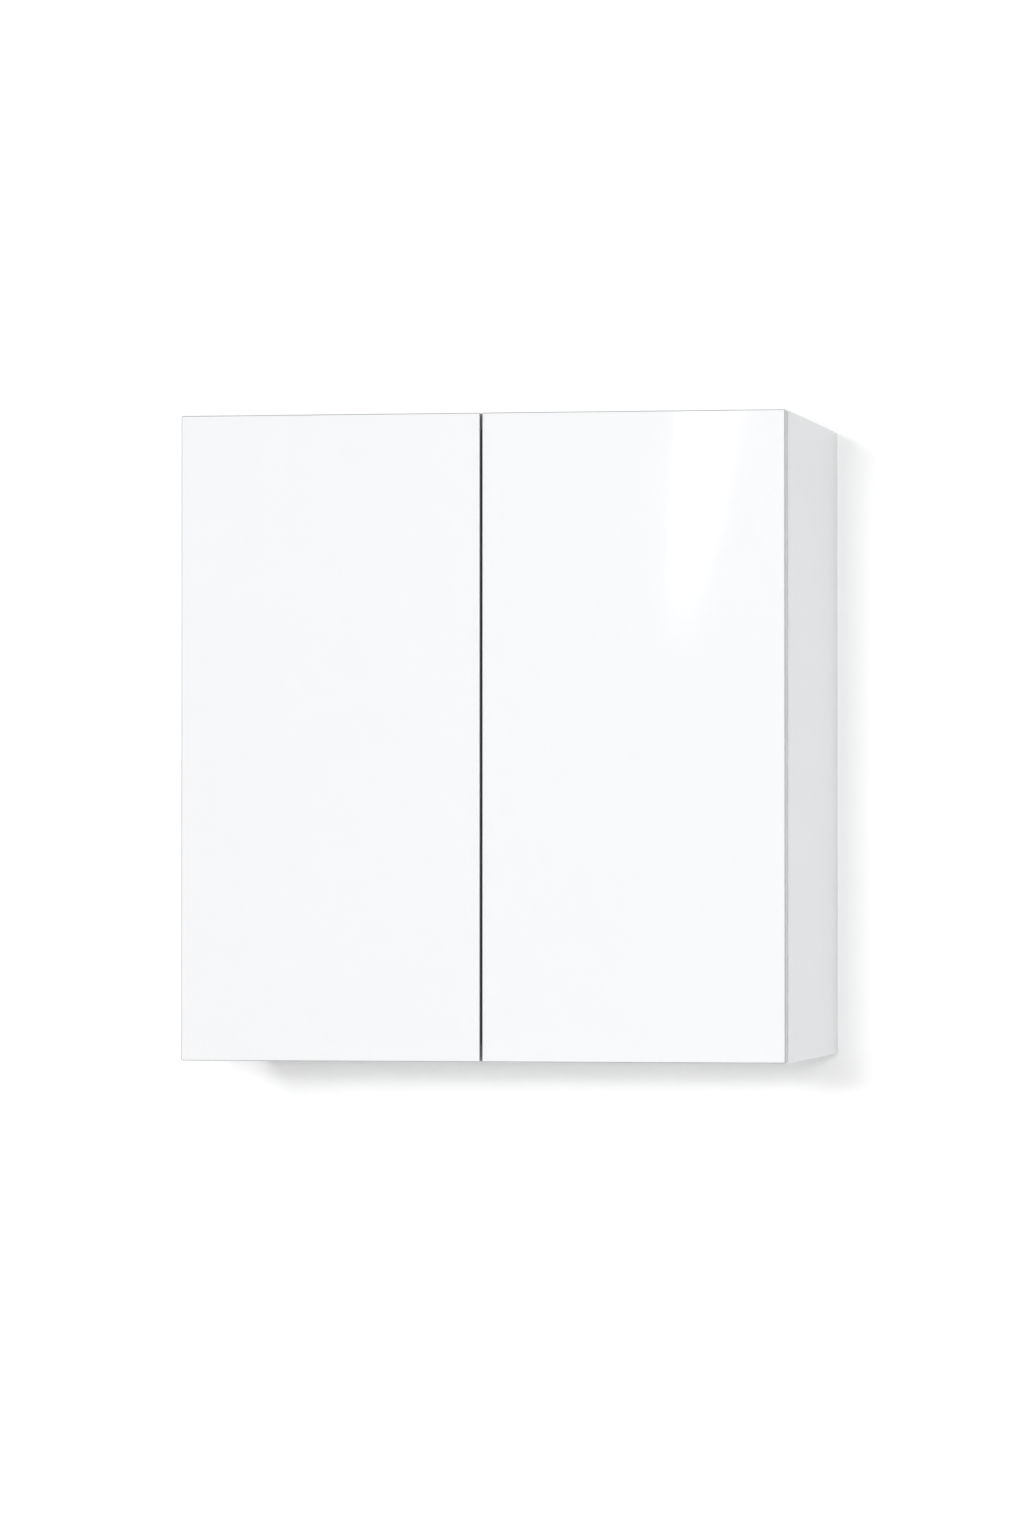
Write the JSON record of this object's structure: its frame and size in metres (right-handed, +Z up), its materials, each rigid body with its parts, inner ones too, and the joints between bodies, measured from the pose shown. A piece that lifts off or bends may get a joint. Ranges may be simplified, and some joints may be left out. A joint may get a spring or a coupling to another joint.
{
  "type": "wall cabinet",
  "caption": "Wall-hung storage cabinet with plain handleless overlay doors on concealed cup hinges, push-to-open latches, adjustable shelves and a hanging rail.",
  "frame": {"origin": "centre of the hanging rail's back face, on the wall plane and the cabinet's centre line", "axes": "+Y into the wall, +Z up, doors face -Y"},
  "size_m": [0.6, 0.391, 0.635],
  "materials": {
    "white_board": "white melamine-faced board",
    "door_lacquer": "high-gloss white lacquer on board",
    "hardboard": "white-faced hardboard",
    "nickel_plated_steel": "nickel plated",
    "zinc_plated_steel": "zinc plated",
    "white_plastic": "moulded",
    "grey_plastic": "moulded"
  },
  "bodies": {
    "carcass": {"back_panel": "hardboard", "bottom_panel": "white_board", "cam_lock_bottom_left_front": "zinc_plated_steel", "cam_lock_bottom_left_rear": "zinc_plated_steel", "cam_lock_bottom_right_front": "zinc_plated_steel", "cam_lock_bottom_right_rear": "zinc_plated_steel", "cam_lock_top_left_front": "zinc_plated_steel", "cam_lock_top_left_rear": "zinc_plated_steel", "cam_lock_top_right_front": "zinc_plated_steel", "cam_lock_top_right_rear": "zinc_plated_steel", "hanger_hook_left": "zinc_plated_steel", "hanger_hook_right": "zinc_plated_steel", "hanger_housing_left": "white_plastic", "hanger_housing_right": "white_plastic", "hinge_arm_lower_left": "nickel_plated_steel", "hinge_arm_lower_right": "nickel_plated_steel", "hinge_arm_upper_left": "nickel_plated_steel", "hinge_arm_upper_right": "nickel_plated_steel", "hinge_plate_lower_left": "nickel_plated_steel", "hinge_plate_lower_right": "nickel_plated_steel", "hinge_plate_upper_left": "nickel_plated_steel", "hinge_plate_upper_right": "nickel_plated_steel", "latch_housing_left": "white_plastic", "latch_housing_right": "white_plastic", "shelf_lower": "white_board", "shelf_pin_lower_left_front": "nickel_plated_steel", "shelf_pin_lower_left_rear": "nickel_plated_steel", "shelf_pin_lower_right_front": "nickel_plated_steel", "shelf_pin_lower_right_rear": "nickel_plated_steel", "shelf_pin_upper_left_front": "nickel_plated_steel", "shelf_pin_upper_left_rear": "nickel_plated_steel", "shelf_pin_upper_right_front": "nickel_plated_steel", "shelf_pin_upper_right_rear": "nickel_plated_steel", "shelf_upper": "white_board", "side_panel_left": "white_board", "side_panel_right": "white_board", "top_panel": "white_board", "wall_rail": "zinc_plated_steel"},
    "door_left": {"door_left": "door_lacquer", "hinge_cup_lower_left": "nickel_plated_steel", "hinge_cup_upper_left": "nickel_plated_steel", "hinge_pin_lower_left": "nickel_plated_steel", "hinge_pin_upper_left": "nickel_plated_steel", "strike_plate_left": "nickel_plated_steel"},
    "door_right": {"door_right": "door_lacquer", "hinge_cup_lower_right": "nickel_plated_steel", "hinge_cup_upper_right": "nickel_plated_steel", "hinge_pin_lower_right": "nickel_plated_steel", "hinge_pin_upper_right": "nickel_plated_steel", "strike_plate_right": "nickel_plated_steel"},
    "plunger_left": {"latch_plunger_left": "grey_plastic"},
    "plunger_right": {"latch_plunger_right": "grey_plastic"}
  },
  "joints": [
    {"name": "door_left_hinge", "type": "hinge", "parent": "carcass", "child": "door_left", "pos_m": [-0.292, -0.383, -0.2675], "axis": [0, 0, -1], "range_deg": [0, 95]},
    {"name": "plunger_left_slide", "type": "slide", "parent": "carcass", "child": "plunger_left", "axis": [0, -1, 0], "range_m": [0, 0.02]},
    {"name": "door_right_hinge", "type": "hinge", "parent": "carcass", "child": "door_right", "pos_m": [0.292, -0.383, -0.2675], "axis": [0, 0, 1], "range_deg": [0, 95]},
    {"name": "plunger_right_slide", "type": "slide", "parent": "carcass", "child": "plunger_right", "axis": [0, -1, 0], "range_m": [0, 0.02]}
  ],
  "couplings": [
    {"joint": "plunger_left_slide", "follows": "door_left_hinge", "m_per_rad": 0.012002},
    {"joint": "plunger_right_slide", "follows": "door_right_hinge", "m_per_rad": 0.012002}
  ]
}
